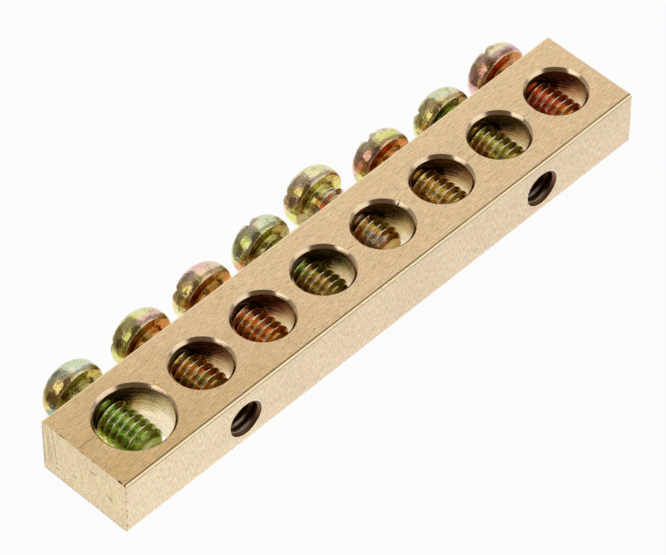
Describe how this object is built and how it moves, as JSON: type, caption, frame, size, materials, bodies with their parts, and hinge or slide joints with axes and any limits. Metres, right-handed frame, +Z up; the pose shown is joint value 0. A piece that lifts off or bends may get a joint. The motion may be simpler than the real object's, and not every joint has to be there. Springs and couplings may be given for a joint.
{
  "type": "earth terminal bar",
  "caption": "Rectangular brass bar with a row of cable holes, one larger than the rest, each crossed by a pan-head clamp screw from the rear, and tapped fixing holes in the front.",
  "frame": {"origin": "on the bar's underside, at half its width, midway between the two fixing holes", "axes": "+X along the bar away from its large cable hole, +Y towards the screw heads, +Z up, out of the face with the cable holes"},
  "size_m": [0.061, 0.0154, 0.006],
  "materials": {
    "brass": "drawn, bright, with sawn ends",
    "yellow_zinc_steel": "steel with yellow passivated zinc plating"
  },
  "bodies": {
    "bar": {"bar": "brass"},
    "clamp_screw_1": {"clamp_screw_1": "yellow_zinc_steel"},
    "clamp_screw_2": {"clamp_screw_2": "yellow_zinc_steel"},
    "clamp_screw_3": {"clamp_screw_3": "yellow_zinc_steel"},
    "clamp_screw_4": {"clamp_screw_4": "yellow_zinc_steel"},
    "clamp_screw_5": {"clamp_screw_5": "yellow_zinc_steel"},
    "clamp_screw_6": {"clamp_screw_6": "yellow_zinc_steel"},
    "clamp_screw_7": {"clamp_screw_7": "yellow_zinc_steel"},
    "clamp_screw_8": {"clamp_screw_8": "yellow_zinc_steel"}
  },
  "joints": [
    {"name": "clamp_screw_1_travel", "type": "slide", "parent": "bar", "child": "clamp_screw_1", "axis": [0, 1, 0], "range_m": [-0.0012, 0.00523]},
    {"name": "clamp_screw_2_travel", "type": "slide", "parent": "bar", "child": "clamp_screw_2", "axis": [0, 1, 0], "range_m": [-0.00075, 0.0046]},
    {"name": "clamp_screw_3_travel", "type": "slide", "parent": "bar", "child": "clamp_screw_3", "axis": [0, 1, 0], "range_m": [-0.0003, 0.0046]},
    {"name": "clamp_screw_4_travel", "type": "slide", "parent": "bar", "child": "clamp_screw_4", "axis": [0, 1, 0], "range_m": [-0.0005, 0.0044]},
    {"name": "clamp_screw_5_travel", "type": "slide", "parent": "bar", "child": "clamp_screw_5", "axis": [0, 1, 0], "range_m": [-0.0014, 0.0035]},
    {"name": "clamp_screw_6_travel", "type": "slide", "parent": "bar", "child": "clamp_screw_6", "axis": [0, 1, 0], "range_m": [-0.00015, 0.00475]},
    {"name": "clamp_screw_7_travel", "type": "slide", "parent": "bar", "child": "clamp_screw_7", "axis": [0, 1, 0], "range_m": [-0.00022, 0.00513]},
    {"name": "clamp_screw_8_travel", "type": "slide", "parent": "bar", "child": "clamp_screw_8", "axis": [0, 1, 0], "range_m": [-0.00005, 0.00485]}
  ]
}
